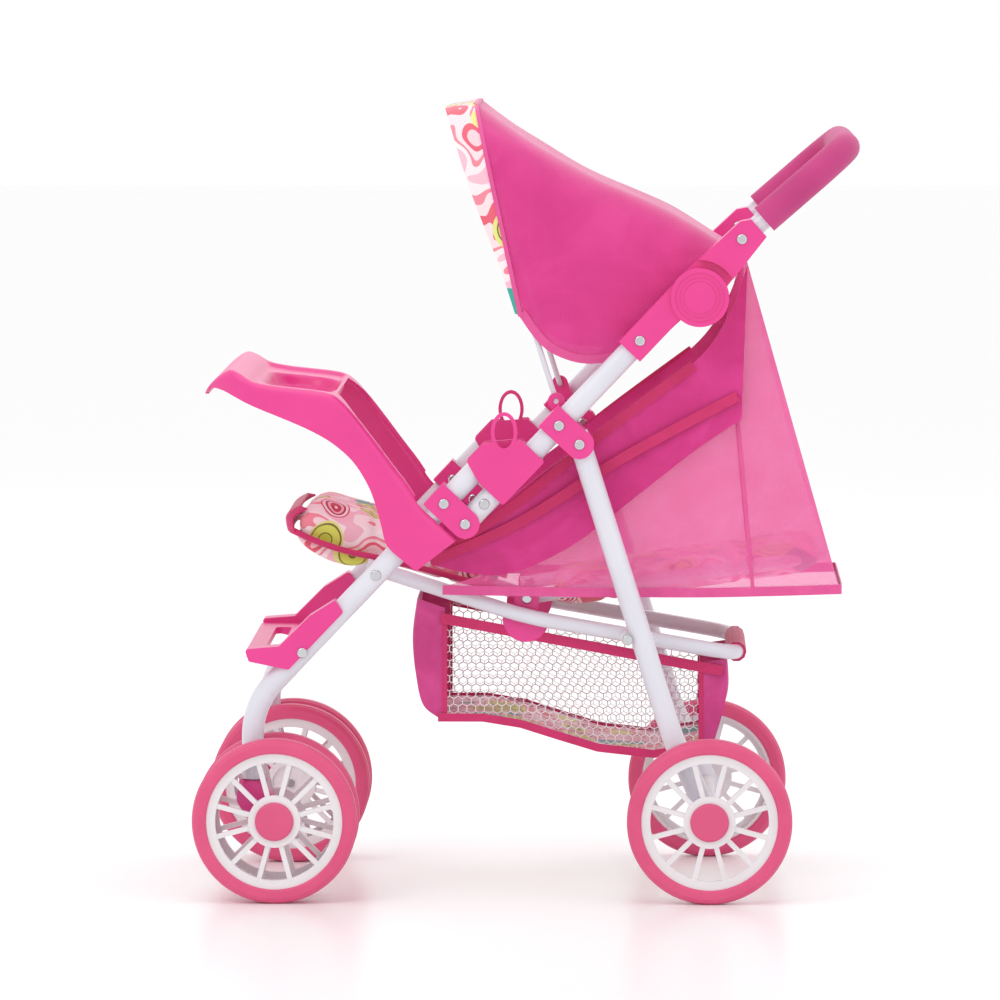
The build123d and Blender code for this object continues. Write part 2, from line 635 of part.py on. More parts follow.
stem = [
    on_line(HUB, HANDLE_DIR, 0.0, HANDLE_OFFSET + ARM_HALF - 2),
    on_line(HUB, HANDLE_DIR, 58.0, HANDLE_OFFSET + ARM_HALF),
    on_line(HUB, HANDLE_DIR, 65.0, HANDLE_OFFSET + ARM_HALF - 4),
    on_line(HUB, HANDLE_DIR, 65.0, HANDLE_OFFSET - ARM_HALF),
    on_line(HUB, HANDLE_DIR, 12.0, HANDLE_OFFSET - ARM_HALF - 10),
]
handle_arm += plate(stem, arm_in, HUB_SPLIT - GAP)
widened = plate(stem, arm_in, arm_out) - pin(*HUB, 90, 150, 27.0)
handle_arm += widened
stem_line = [handle_root, on_line(HUB, HANDLE_DIR, 90, HANDLE_OFFSET)]
handle_arm -= rod(in_side(stem_line, HANDLE_X), HANDLE_TUBE_R + FIT)
handle_arm -= hole(HANDLE_RIVET)
add_pair("handle_arms", handle_arm - hub_pin_hole)
add("hub_pins", both(pin(*HUB, arm_in - 1.5, BUTTON_FLOOR - 2, HUB_PIN_R)))
add("button_springs", both(spring))

# ---- canopy: wire bow in two clips, printed band and cover -----------------------------------
CLIP_IN = BOW_X + BOW_WIRE_R + 0.6      # the wire swings past the clip's inner side
CLIP_OUT = BRACKET_IN
clip = lug(BOW_PIVOT, on_line(KNEE, UPPER_DIR, 106.5, 2.5), 6.0, 3.4, CLIP_IN, CLIP_OUT)
clip -= pin(*BOW_PIVOT, BOW_X, CLIP_OUT + 2, BOW_WIRE_R + FIT)
BOW_CORNER = 42.0
bow = rod(
    [
        (CLIP_OUT - 1, *BOW_PIVOT),
        (BOW_X, *BOW_PIVOT, 2.4),
        (BOW_X, *BOW_TOP, BOW_CORNER),
        (-BOW_X, *BOW_TOP, BOW_CORNER),
        (-BOW_X, *BOW_PIVOT, 2.4),
        (-CLIP_OUT + 1, *BOW_PIVOT),
    ],
    BOW_WIRE_R,
)
add("canopy_bow", bow)


def hoop(foot, crown, half, corner, drop):
    """A face with a rounded top: its plane holds the X axis and the line from foot to crown."""
    rise, height = along(foot, crown)
    base = beyond(foot, rise, -drop)
    plane = Plane(origin=(0, *base), x_dir=(1, 0, 0), z_dir=(0, -rise[1], rise[0]))
    top = height + drop
    edges = FilletPolyline((half, 0), (half, top), (-half, top), (-half, 0), radius=corner)
    return plane * make_face([*edges.edges(), Line((-half, 0), (half, 0))])


def shell(hoops, half, corner, wall):
    """A hollow cover through a row of hoops, open at its two ends and below."""
    outer = loft([hoop(foot, crown, half, corner, 0) for foot, crown in hoops], ruled=True)
    inner_hoops = []
    for foot, crown in hoops:
        rise, height = along(foot, crown)
        low_crown = beyond(foot, rise, height - wall)
        inner_hoops.append(hoop(foot, low_crown, half - wall, corner - wall, 0.6))
    return outer - loft(inner_hoops, ruled=True)


cover_hoops = [
    ((-3.4, 425.0), (-35.4, 578.0)),
    ((19.0, 398.0), (2.0, 553.0)),
    ((54.0, 391.5), (52.0, 525.0)),
    ((86.0, 402.0), (102.0, 503.0)),
    ((112.0, 424.0), (141.0, 478.0)),
]
band_hoops = [((-9.0, 427.0), (-61.0, 575.0)), ((-4.8, 425.5), (-37.0, 579.5))]
add("canopy_band", shell(band_hoops, CANOPY_HALF, CANOPY_CORNER, CLOTH))
add("canopy_cover", shell(cover_hoops, CANOPY_HALF, CANOPY_CORNER, CLOTH))

# ---- side wings and back tent: thin cloth between the frame and the backrest -----------------
WING_X, TENT_X = 101.0, 96.0
wing_outline = [
    (-72.0, 247.0),
    (121.0, 391.0),
    (143.0, 420.0),
    (156.0, 446.0),
    (155.0, 349.0),
    (103.0, 312.0),
    (9.0, 243.0),
]
add_pair("side_wings", plate(wing_outline, WING_X, WING_X + CLOTH))
TENT_REAR, TENT_HEM = (229.5, 221.0), (-62.0, 221.0)
tent_outline = [TENT_HEM, TENT_REAR, (163.0, 446.0), (150.0, 446.0), (120.0, 340.0)]
tent_hollow = [
    (TENT_HEM[0] - 20, 200.0),
    (TENT_REAR[0] - CLOTH, 200.0),
    (TENT_REAR[0] - CLOTH, TENT_REAR[1]),
    (163.0 - CLOTH, 446.0),
    (163.0 - CLOTH, 470.0),
    (TENT_HEM[0] - 20, 470.0),
]
tent = plate(tent_outline, -TENT_X, TENT_X)
tent -= plate(tent_hollow, -TENT_X + CLOTH, TENT_X - CLOTH)
add("back_tent", tent)

# ---- rivets, in one group for each body that they hold together ------------------------------
CHANNEL = (BRACKET_IN, BRACKET_OUT)
TUBE_FACES = (SIDE_X - TUBE_R, SIDE_X + TUBE_R)


def rivets(*places):
    """Left and right rivets as one group: each place is (point, x from, x to)."""
    solids = []
    for point, x_from, x_to in places:
        solids += both(rivet(*point, x_from, x_to)).solids()
    return Compound(children=solids)


add("front_frame_rivets", rivets((LEG_RIVET, *CHANNEL), (FOOTREST_RIVET, *CHANNEL)))
add("front_frame_pivots", rivets((KNEE, *CHANNEL), (SEAT_FRONT, SEAT_X - SEAT_TUBE_R, TUBE_FACES[1])))
upper_places = [(place, *CHANNEL) for place in (UPPER_RIVET, LEG_PIVOT, HUB_ARM_RIVET)]
add("upper_frame_rivets", rivets(*upper_places, (STOP_RIVET, *TUBE_FACES)))
add("rear_leg_rivets", rivets((SEAT_REAR, rear_spacer_in, TUBE_FACES[1])))
add("handle_rivets", rivets((HANDLE_RIVET, arm_in, arm_out)))
add("recline_pivots", rivets((BACK_PIVOT, BACK_X - BACK_TUBE_R, bracket_out)))
add_pair("canopy_clips", clip)

os.makedirs("parts", exist_ok=True)
for name, piece in parts.items():
    export_step(piece, f"parts/{name}.step")
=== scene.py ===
# Doll stroller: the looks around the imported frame. Lengths in the dictionaries are millimetres.
import bpy
import json
import math
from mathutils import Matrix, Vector


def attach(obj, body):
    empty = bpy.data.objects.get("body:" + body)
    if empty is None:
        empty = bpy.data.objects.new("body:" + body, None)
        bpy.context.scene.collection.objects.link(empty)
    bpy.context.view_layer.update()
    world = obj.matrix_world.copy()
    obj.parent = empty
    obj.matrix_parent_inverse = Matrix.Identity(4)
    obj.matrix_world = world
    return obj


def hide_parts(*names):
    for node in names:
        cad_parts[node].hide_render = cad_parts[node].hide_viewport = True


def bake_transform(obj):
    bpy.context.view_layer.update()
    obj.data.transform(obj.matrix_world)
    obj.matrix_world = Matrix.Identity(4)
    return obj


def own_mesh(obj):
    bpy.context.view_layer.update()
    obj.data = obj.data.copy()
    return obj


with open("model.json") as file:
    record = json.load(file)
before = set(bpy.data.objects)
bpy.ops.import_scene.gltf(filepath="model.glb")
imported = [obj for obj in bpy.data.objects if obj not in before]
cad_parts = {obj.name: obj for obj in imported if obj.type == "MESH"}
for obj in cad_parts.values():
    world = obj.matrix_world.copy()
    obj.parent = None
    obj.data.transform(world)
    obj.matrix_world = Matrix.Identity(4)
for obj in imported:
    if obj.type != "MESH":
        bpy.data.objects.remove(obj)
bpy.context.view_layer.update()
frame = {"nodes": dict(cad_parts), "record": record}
bpy.ops.object.select_all(action="DESELECT")
print("frame loaded:", len(frame["nodes"]), "nodes")


# small helpers

def linear(code):
    # sRGB hex to linear RGBA
    shares = [int(code[i:i + 2], 16) / 255 for i in (1, 3, 5)]
    return tuple(c / 12.92 if c <= 0.04045 else ((c + 0.055) / 1.055) ** 2.4 for c in shares) + (1.0,)


def addNode(tree, kind, settings=None, values=None, links=None):
    node = tree.nodes.new(kind)
    for key, value in (settings or {}).items():
        setattr(node, key, value)
    for key, value in (values or {}).items():
        node.inputs[key].default_value = value
    for key, source in (links or {}).items():
        tree.links.new(source, node.inputs[key])
    return node


def fillRamp(node, stops, sharp=False):
    ramp = node.color_ramp
    ramp.interpolation = "CONSTANT" if sharp else "LINEAR"
    while len(ramp.elements) < len(stops):
        ramp.elements.new(0.5)
    for element, (place, code) in zip(ramp.elements, stops):
        element.position = place
        element.color = linear(code)


def waveScale(pitch):
    # a band texture's scale for one band each pitch, in mm
    return 0.31416 / (pitch / 1000)


def noiseScale(size):
    # a noise or cell texture's scale for blobs of this size, in mm
    return 1000 / size


def mm(*values):
    return Vector(values) / 1000


def between(points, share):
    # the place at a share of the way through a list of (y, z) points
    spot = share * (len(points) - 1)
    first = min(int(spot), len(points) - 2)
    part = spot - first
    a, b = points[first], points[first + 1]
    return [a[i] + (b[i] - a[i]) * part for i in range(len(a))]


def smoothBetween(points, share):
    # the same, on a smooth curve through the points
    spot = share * (len(points) - 1)
    first = min(int(spot), len(points) - 2)
    part = spot - first
    around = [points[max(0, min(len(points) - 1, first + k))] for k in (-1, 0, 1, 2)]
    out = []
    for a, b, c, d in zip(*around):
        out.append(0.5 * (2 * b + (c - a) * part + (2 * a - 5 * b + 4 * c - d) * part ** 2
                          + (3 * b - a - 3 * c + d) * part ** 3))
    return out


# materials

materials = {}


def startMaterial(name, code, roughness, sockets=None):
    material = bpy.data.materials.new(name)
    material.use_nodes = True
    shader = material.node_tree.nodes["Principled BSDF"]
    shader.inputs["Base Color"].default_value = linear(code)
    shader.inputs["Roughness"].default_value = roughness
    for key, value in (sockets or {}).items():
        shader.inputs[key].default_value = value
    materials[name] = material
    where = addNode(material.node_tree, "ShaderNodeTexCoord").outputs["Object"]
    return material.node_tree, shader, where


def addBump(tree, shader, height, strength, distance):
    bump = addNode(tree, "ShaderNodeBump", values={"Strength": strength, "Distance": distance / 1000},
                   links={"Height": height})
    tree.links.new(bump.outputs["Normal"], shader.inputs["Normal"])


def blotchColour(tree, shader, where, size, codes, low=0.3, high=0.7):
    # slow colour change from one shade to another
    noise = addNode(tree, "ShaderNodeTexNoise", values={"Scale": noiseScale(size), "Detail": 3.0},
                    links={"Vector": where})
    ramp = addNode(tree, "ShaderNodeValToRGB", links={"Fac": noise.outputs["Fac"]})
    fillRamp(ramp, [(low, codes[0]), (high, codes[1])])
    tree.links.new(ramp.outputs["Color"], shader.inputs["Base Color"])


def makePowderCoat():
    # white powder coat on steel: glossy, with a faint orange peel
    tree, shader, where = startMaterial("whitePowderCoat", "#DDDDE6", 0.24,
                                        {"Coat Weight": 0.35, "Coat Roughness": 0.12})
    blotchColour(tree, shader, where, 60, ("#E0E0E8", "#D8D8E2"))
    peel = addNode(tree, "ShaderNodeTexNoise", values={"Scale": noiseScale(1.6)}, links={"Vector": where})
    addBump(tree, shader, peel.outputs["Fac"], 0.12, 0.12)


def makePlastic(name, codes, roughness, grain):
    # injection moulded plastic: satin skin with a fine spark-eroded grain
    tree, shader, where = startMaterial(name, codes[0], roughness,
                                        {"Coat Weight": 0.12, "Coat Roughness": 0.3})
    blotchColour(tree, shader, where, 45, codes)
    skin = addNode(tree, "ShaderNodeTexNoise", values={"Scale": noiseScale(grain), "Detail": 4.0},
                   links={"Vector": where})
    addBump(tree, shader, skin.outputs["Fac"], 0.16, 0.1)


def makeFoam(name, codes, roughness, cell):
    # closed cell foam or soft tyre: matt, with small pores
    tree, shader, where = startMaterial(name, codes[0], roughness, {"Sheen Weight": 0.15})
    blotchColour(tree, shader, where, 30, codes)
    pores = addNode(tree, "ShaderNodeTexVoronoi", values={"Scale": noiseScale(cell)},
                    links={"Vector": where})
    addBump(tree, shader, pores.outputs["Distance"], 0.3, 0.25)


def makeSteel(name, code, roughness):
    # plated steel: bright, with faint turning marks
    tree, shader, where = startMaterial(name, code, roughness, {"Metallic": 1.0})
    marks = addNode(tree, "ShaderNodeTexNoise", values={"Scale": noiseScale(0.8)}, links={"Vector": where})
    addBump(tree, shader, marks.outputs["Fac"], 0.08, 0.05)


def weaveHeight(tree, where, pitch):
    # crossed threads: bands along and across, in mm (drawn coarser than the real 0.2 mm thread)
    heights = []
    for direction in ("Y", "Z"):
        bands = addNode(tree, "ShaderNodeTexWave", {"bands_direction": direction},
                        {"Scale": waveScale(pitch), "Distortion": 0.6, "Detail": 1.0}, {"Vector": where})
        heights.append(bands.outputs["Fac"])
    both = addNode(tree, "ShaderNodeMath", {"operation": "ADD"})
    tree.links.new(heights[0], both.inputs[0])
    tree.links.new(heights[1], both.inputs[1])
    return both.outputs["Value"]


def makeNylon(name, codes, alpha, pitch=1.4, creases=24):
    # thin nylon taffeta: a plain weave with a soft sheen, and light comes through it
    tree, shader, where = startMaterial(name, codes[0], 0.55,
                                        {"Sheen Weight": 0.4, "Sheen Roughness": 0.4, "Alpha": alpha})
    crease = addNode(tree, "ShaderNodeTexNoise",
                     values={"Scale": noiseScale(creases), "Detail": 3.0, "Distortion": 1.2},
                     links={"Vector": where})
    # the crease noise also sets the colour: the second colour is painted shade in the crease hollows and
    # the third is painted highlight on the crease tops
    ramp = addNode(tree, "ShaderNodeValToRGB", links={"Fac": crease.outputs["Fac"]})
    fillRamp(ramp, [(0.32, codes[1]), (0.5, codes[0]), (0.7, codes[2])])
    tree.links.new(ramp.outputs["Color"], shader.inputs["Base Color"])
    threads = weaveHeight(tree, where, pitch)
    share = addNode(tree, "ShaderNodeMath", {"operation": "MULTIPLY_ADD"}, {1: 9.0, 2: 0.0})
    tree.links.new(crease.outputs["Fac"], share.inputs[0])
    total = addNode(tree, "ShaderNodeMath", {"operation": "ADD"})
    tree.links.new(threads, total.inputs[0])
    tree.links.new(share.outputs["Value"], total.inputs[1])
    addBump(tree, shader, total.outputs["Value"], 0.35, 0.16)


def makeTape(name, codes, pitch=1.6):
    # folded binding tape: a tight rib with a raised selvedge
    tree, shader, where = startMaterial(name, codes[0], 0.6, {"Sheen Weight": 0.3})
    blotchColour(tree, shader, where, 14, codes)
    addBump(tree, shader, weaveHeight(tree, where, pitch), 0.5, 0.2)


def makePrint(name, turn, petalAt=0.34):
    # printed polyester: rings, petals, patches and stripes on pale pink
    tree, shader, where = startMaterial(name, "#F7C7D4", 0.62, {"Sheen Weight": 0.25})
    spot = addNode(tree, "ShaderNodeMapping", links={"Vector": where})
    spot.inputs["Rotation"].default_value = turn
    spot = spot.outputs["Vector"]
    bent = addNode(tree, "ShaderNodeTexNoise", values={"Scale": noiseScale(38), "Detail": 1.0},
                   links={"Vector": spot})
    ground = addNode(tree, "ShaderNodeValToRGB", links={"Fac": bent.outputs["Fac"]})
    fillRamp(ground, [(0.0, "#35A99A"), (0.385, "#F6BFCF"), (0.47, "#FBE9EC"), (0.53, "#F1899B"),
                      (0.56, "#FBDDE2"), (0.61, "#E85F74"), (0.66, "#F8CDD6")], sharp=True)
    rings = addNode(tree, "ShaderNodeTexVoronoi", values={"Scale": noiseScale(40), "Randomness": 0.85},
                    links={"Vector": spot})
    ringColour = addNode(tree, "ShaderNodeValToRGB", links={"Fac": rings.outputs["Distance"]})
    fillRamp(ringColour, [(0.0, "#C8274F"), (0.06, "#F9DFE4"), (0.1, "#C8274F"), (0.15, "#F6B7C6"),
                          (0.19, "#B81E4A"), (0.23, "#F9E2E6"), (0.27, "#D2365E")], sharp=True)
    ringMask = addNode(tree, "ShaderNodeMath", {"operation": "LESS_THAN"}, {1: 0.3})
    tree.links.new(rings.outputs["Distance"], ringMask.inputs[0])
    withRings = addNode(tree, "ShaderNodeMix", {"data_type": "RGBA"})
    tree.links.new(ringMask.outputs["Value"], withRings.inputs["Factor"])
    tree.links.new(ground.outputs["Color"], withRings.inputs[6])
    tree.links.new(ringColour.outputs["Color"], withRings.inputs[7])
    moved = addNode(tree, "ShaderNodeMapping", links={"Vector": spot})
    moved.inputs["Location"].default_value = mm(31, 17, 23)
    petals = addNode(tree, "ShaderNodeTexVoronoi", {"feature": "SMOOTH_F1"},
                     {"Scale": noiseScale(46), "Smoothness": 0.2}, {"Vector": moved.outputs["Vector"]})
    petalColour = addNode(tree, "ShaderNodeValToRGB", links={"Fac": petals.outputs["Distance"]})
    fillRamp(petalColour, [(0.0, "#8C7A2C"), (0.05, "#C2CC3E"), (0.14, "#7C7430"), (0.155, "#D6DC5A"),
                           (0.25, "#7C7430"), (0.27, "#E4E58A")], sharp=True)
    petalMask = addNode(tree, "ShaderNodeMath", {"operation": "LESS_THAN"}, {1: petalAt})
    tree.links.new(petals.outputs["Distance"], petalMask.inputs[0])
    whole = addNode(tree, "ShaderNodeMix", {"data_type": "RGBA"})
    tree.links.new(petalMask.outputs["Value"], whole.inputs["Factor"])
    tree.links.new(withRings.outputs[2], whole.inputs[6])
    tree.links.new(petalColour.outputs["Color"], whole.inputs[7])
    tree.links.new(whole.outputs[2], shader.inputs["Base Color"])
    addBump(tree, shader, weaveHeight(tree, where, 1.3), 0.4, 0.15)


makePowderCoat()
makePlastic("pinkMouldedPlastic", ("#E93D92", "#E3378C"), 0.34, 0.9)
makePlastic("offWhiteWheelPlastic", ("#E9E5E7", "#E2DDE0"), 0.32, 0.8)
makePlastic("raspberryCapPlastic", ("#DC5280", "#D54B79"), 0.36, 0.8)
makePlastic("whiteNylon", ("#E6E6E8", "#DDDDE0"), 0.5, 0.7)
makeFoam("raspberryTyreFoam", ("#DE5280", "#D74A79"), 0.58, 1.1)
makeFoam("deepRaspberryGripFoam", ("#C43C80", "#B93376"), 0.74, 1.3)
makeSteel("platedRivetSteel", "#C9CACD", 0.16)
makeSteel("platedAxleSteel", "#A9ABB0", 0.28)
makeSteel("springWire", "#8F9196", 0.3)
# each nylon's colours: its own tone, then a painted shade for crease hollows and a painted highlight for
# crease tops
makeNylon("hotPinkNylon", ("#E0358E", "#DA2F89", "#E63F97"), 0.86, creases=55)
makeNylon("darkPinkNylon", ("#D92A86", "#D1247E", "#E03590"), 0.9, creases=40)
makeNylon("sheerPinkNylon", ("#F86CB4", "#F664AE", "#FA78BC"), 0.47, creases=60)
makeNylon("basketNylon", ("#D03C88", "#C83481", "#D84691"), 0.96, creases=30)
makeTape("crimsonTape", ("#CF2068", "#C51A60"))
makeTape("rosePinkTape", ("#E4559A", "#DC4C91"))
makeTape("whiteNetCord", ("#F0EBEE", "#E8E2E6"), pitch=0.9)
makePrint("flowerPrint", (0.2, 0.35, 0.15))
makePrint("flowerPrintSeat", (0.9, 0.1, 0.6), petalAt=0.3)
slotMaterials = {
    "frame_paint": "whitePowderCoat",
    "pink_plastic": "pinkMouldedPlastic",
    "wheel_plastic": "offWhiteWheelPlastic",
    "cap_plastic": "raspberryCapPlastic",
    "tyre_foam": "raspberryTyreFoam",
    "grip_foam": "deepRaspberryGripFoam",
    "rivet_steel": "platedRivetSteel",
    "axle_steel": "platedAxleSteel",
    "bush_nylon": "whiteNylon",
    "spring_steel": "springWire",
    "nylon_cloth": "hotPinkNylon",
    "printed_cloth": "flowerPrint",
    "basket_cloth": "basketNylon",
}
for subpart in frame["record"]["subparts"]:
    node = frame["nodes"][subpart["node"]]
    node.data.materials.clear()
    node.data.materials.append(materials[slotMaterials[subpart["material_slot"]]])
print("materials made:", len(materials))


# making and finishing pieces

def pick(piece):
    # only this piece selected and active, ready for an operator
    bpy.ops.object.select_all(action="DESELECT")
    piece.select_set(True)
    bpy.context.view_layer.objects.active = piece


def applyModifiers(piece):
    pick(piece)
    for modifier in list(piece.modifiers):
        bpy.ops.object.modifier_apply(modifier=modifier.name)


def outwards(piece):
    pick(piece)
    bpy.ops.object.mode_set(mode="EDIT")
    bpy.ops.mesh.select_all(action="SELECT")
    bpy.ops.mesh.remove_doubles(threshold=0.00002)
    bpy.ops.mesh.normals_make_consistent(inside=False)
    bpy.ops.object.mode_set(mode="OBJECT")


def smooth(piece, angle=40):
    pick(piece)
    bpy.ops.object.shade_smooth_by_angle(angle=math.radians(angle))
    bpy.ops.object.select_all(action="DESELECT")


def sheetFrom(name, across, along, place, thick=0.6):
    # a grid laid over a surface: place gives a point in mm for shares across and along
    bpy.ops.mesh.primitive_grid_add(x_subdivisions=across, y_subdivisions=along, size=2)
    piece = bpy.context.object
    piece.name = name
    for vertex in piece.data.vertices:
        vertex.co = mm(*place((vertex.co.x + 1) / 2, (vertex.co.y + 1) / 2))
    area = sum(face.area for face in piece.data.polygons)
    rows = [[mm(*place(i / 24, j / 8)) for i in range(25)] for j in range(9)]
    width = max(sum((b - a).length for a, b in zip(row, row[1:])) for row in rows)
    length = max(sum((b - a).length for a, b in zip(column, column[1:])) for column in zip(*rows))
    solid = piece.modifiers.new("thickness", "SOLIDIFY")
    solid.thickness = thick / 1000
    solid.offset = 0
    applyModifiers(piece)
    outwards(piece)
    smooth(piece, 50)
    return piece, (width, length, min(area, width * length))


def dress(piece, material, replaced=()):
    piece.data.materials.clear()
    piece.data.materials.append(materials[material])
    if replaced:
        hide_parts(*replaced)


def stripFrom(name, centre, widthMm, steps, outward, thick=0.9):
    # a flat tape along a line: centre gives (x, y, z) and outward the direction it faces, for a share
    def place(across, along):
        here = Vector(centre(along))
        ahead = Vector(centre(min(1, along + 0.01))) - Vector(centre(max(0, along - 0.01)))
        side = ahead.cross(Vector(outward(along))).normalized()
        return here + side * (across - 0.5) * widthMm
    return sheetFrom(name, 4, steps, place, thick)[0]


# canopy: one curved sheet from the printed front band back to the hubs

canopy = {
    "feet": [(-4, 425), (19, 398), (54, 391.5), (86, 402), (116, 428)],
    "crowns": [(-36, 577.5), (2, 552.5), (52, 525), (102, 502.5), (146, 474)],
    "half": 105.6,
    "corner": 43,
    "sag": 3.0,
    "hemWidth": 6.0,
    "hemRise": 2.6,
    "turn": ((0, 118, 455), (0, -20, 500)),  # two points in mm, at the rear and at the front of the hood
}


def hoopPoint(foot, crown, half, corner, share):
    # a point round a rounded hoop: share 0 at the left foot, 1 at the right
    rise = Vector((crown[0] - foot[0], crown[1] - foot[1]))
    height = rise.length
    rise.normalize()
    corner = min(corner, height - 2)
    bend, post = corner * math.pi / 2, height - corner
    runs = [post, bend, 2 * (half - corner), bend, post]
    spot = share * sum(runs)
    if spot <= runs[0]:
        x, up = half, spot
    elif spot <= sum(runs[:2]):
        turn = (spot - runs[0]) / corner
        x, up = half - corner + corner * math.cos(turn), height - corner + corner * math.sin(turn)
    elif spot <= sum(runs[:3]):
        x, up = half - corner - (spot - sum(runs[:2])), height
    elif spot <= sum(runs[:4]):
        turn = (spot - sum(runs[:3])) / corner
        x, up = -half + corner - corner * math.sin(turn), height - corner + corner * math.cos(turn)
    else:
        x, up = -half, sum(runs) - spot
    return Vector((x, foot[0] + rise.x * up, foot[1] + rise.y * up))


def canopyPlace(across, along):
    foot = smoothBetween(canopy["feet"], along)
    crown = smoothBetween(canopy["crowns"], along)
    point = hoopPoint(foot, crown, canopy["half"], canopy["corner"], across)
    middle = math.sin(math.pi * along)
    top = math.sin(math.pi * across)
    inward = 1 - 0.018 * middle * (1 - top)
    fold = math.sin(along * 19 + across * 9) * math.sin(across * 31 + 1.3) * 0.7 * middle
    gather = math.sin(across * 70) * 0.9 * along ** 3
    point.x *= inward
    point.z -= canopy["sag"] * middle * top ** 2 + fold
    point.x += math.copysign(gather * (1 - top) * 0.8, point.x)
    return point


def makeCanopy():
    cover, cut = sheetFrom("canopyCover", 120, 44, canopyPlace, 0.5)
    dress(cover, "hotPinkNylon", ["canopy_cover"])
    hems = []  # rolled hem along the bottom of both sides
    for name, share in (("canopyHemLeft", 0.0), ("canopyHemRight", 1.0)):
        side = 1 if share == 0 else -1

        def centre(along, share=share, side=side):
            point = canopyPlace(share, along)
            return point + Vector((side * 0.7, 0, canopy["hemRise"]))
        hem = stripFrom(name, centre, canopy["hemWidth"], 40, lambda along, side=side: (side, 0, 0), 0.8)
        dress(hem, "rosePinkTape")
        hems.append(hem)
    for piece in [cover] + hems:
        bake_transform(piece)


band = {
    "feet": [(-9, 427), (-4.8, 425.5)],
    "crowns": [(-61, 574.5), (-36.4, 578.6)],
    "half": 105.9,
    "corner": 43.5,
    "seamAt": 0.94,
    "seamWidth": 3.0,
}


def bandPlace(across, along):
    foot = between(band["feet"], along)
    crown = between(band["crowns"], along)
    point = hoopPoint(foot, crown, band["half"], band["corner"], across)
    top = math.sin(math.pi * across)
    point.z += 0.6 * math.sin(along * math.pi) * top
    point.y += 0.8 * math.sin(across * 24) * (1 - along)
    return point


def makeBand():
    piece, cut = sheetFrom("canopyBand", 120, 10, bandPlace, 1.4)
    dress(piece, "flowerPrint", ["canopy_band"])
    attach(piece, "canopy")

    def seamOut(along):
        point = bandPlace(along, band["seamAt"])
        return point - Vector((0, point.y, 500))

    def seamCentre(along):
        return bandPlace(along, band["seamAt"]) + seamOut(along).normalized() * 0.9
    seam = stripFrom("canopySeam", seamCentre, band["seamWidth"], 110, seamOut, 0.8)
    dress(seam, "rosePinkTape")
    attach(seam, "canopy")


makeCanopy()
makeBand()
print("canopy made")


# side wings: cloth from the hubs down to the front of the seat, with two bound tapes each side

wing = {
    "x": 101.5,
    "upper": [(-72, 250), (0, 302), (62, 348), (121, 391), (146, 425), (160, 462)],
    "lower": [(-70, 243), (-20, 236), (30, 256), (85, 298), (122, 327), (156, 350)],
    "belly": 2.5,
    "tapes": {
        "tapeA": (1.2, [(-70, 248), (-10, 287), (55, 340), (121, 389)]),
        "tapeB": (2.4, [(-70, 246), (-5, 275), (70, 322), (153, 367)]),
    },
    "tapeWidth": 7.5,
    "turn": ((0, -60, 250), (0, 60, 330)),
}


def wingSag(y, z):
    return 2.2 * math.sin(y * 0.045 + z * 0.03) * math.sin((z - 240) * 0.025)


def makeWings():
    for name, side in (("Left", 1), ("Right", -1)):
        def place(across, along, side=side):
            low = smoothBetween(wing["lower"], along)
            high = smoothBetween(wing["upper"], along)
            y = low[0] + (high[0] - low[0]) * across
            z = low[1] + (high[1] - low[1]) * across
            belly = math.sin(math.pi * along) * math.sin(math.pi * across)
            return Vector((side * (wing["x"] - wing["belly"] * belly + 0.4 * wingSag(y, z)), y, z))
        cloth, cut = sheetFrom("sideWing" + name, 26, 60, place, 0.6)
        replaced = ["side_wings"] if side == 1 else []
        dress(cloth, "darkPinkNylon", replaced)
        tapes = []
        for tapeName, (lift, line) in wing["tapes"].items():
            def centre(along, line=line, lift=lift, side=side):
                y, z = smoothBetween(line, along)
                return Vector((side * (wing["x"] + lift), y, z))
            tape = stripFrom(tapeName + name, centre, wing["tapeWidth"], 40,
                             lambda along, side=side: (side, 0, 0), 0.9)
            dress(tape, "crimsonTape")
            tapes.append(tape)
        for piece in [cloth] + tapes:
            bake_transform(piece)


makeWings()
print("side wings made")


# back tent: sheer cloth round the reclined backrest, up to the hubs

tent = {
    "half": 95.2,
    "hem": [(-62, 221), (40, 219.5), (140, 219.5), (228.6, 222)],
    "top": [(-60, 227), (20, 256), (95, 318), (134, 372), (150, 430), (158, 470)],
    "hemWidth": 7,
    "sideShare": 0.36,
    "bow": 3.0,
    "dent": 4.0,
    "seamAt": (0.27, 0.73),
    "seamWidth": 2.6,
    "turn": ((0, 60, 330), (0, 215, 232)),
}


def tentPlace(across, along):
    # across runs from the left front, round the two rear corners, to the right front
    share = tent["sideShare"]
    sag = math.sin(math.pi * along)
    if across <= share or across >= 1 - share:
        side = 1 if across <= share else -1
        run = across / share if side == 1 else (1 - across) / share
        low = smoothBetween(tent["hem"], run)
        high = smoothBetween(tent["top"], run)
        y = low[0] + (high[0] - low[0]) * along
        z = low[1] + (high[1] - low[1]) * along
        bow = math.sin(math.pi * min(1, run * 1.02)) * sag
        ripple = math.sin(run * 23 + along * 3) * 0.7 * (1 - along) * math.sin(math.pi * run)
        return Vector((side * (tent["half"] - tent["bow"] * bow + ripple), y, z))
    run = (across - share) / (1 - 2 * share)
    low, high = tent["hem"][-1], tent["top"][-1]
    y = low[0] + (high[0] - low[0]) * along
    z = low[1] + (high[1] - low[1]) * along
    middle = math.sin(math.pi * run)
    dent = tent["dent"] * sag * middle ** 1.5
    ripple = math.sin(run * 17 + along * 4) * 0.8 * sag
    return Vector((tent["half"] * (1 - 2 * run), y - dent - ripple * middle, z))


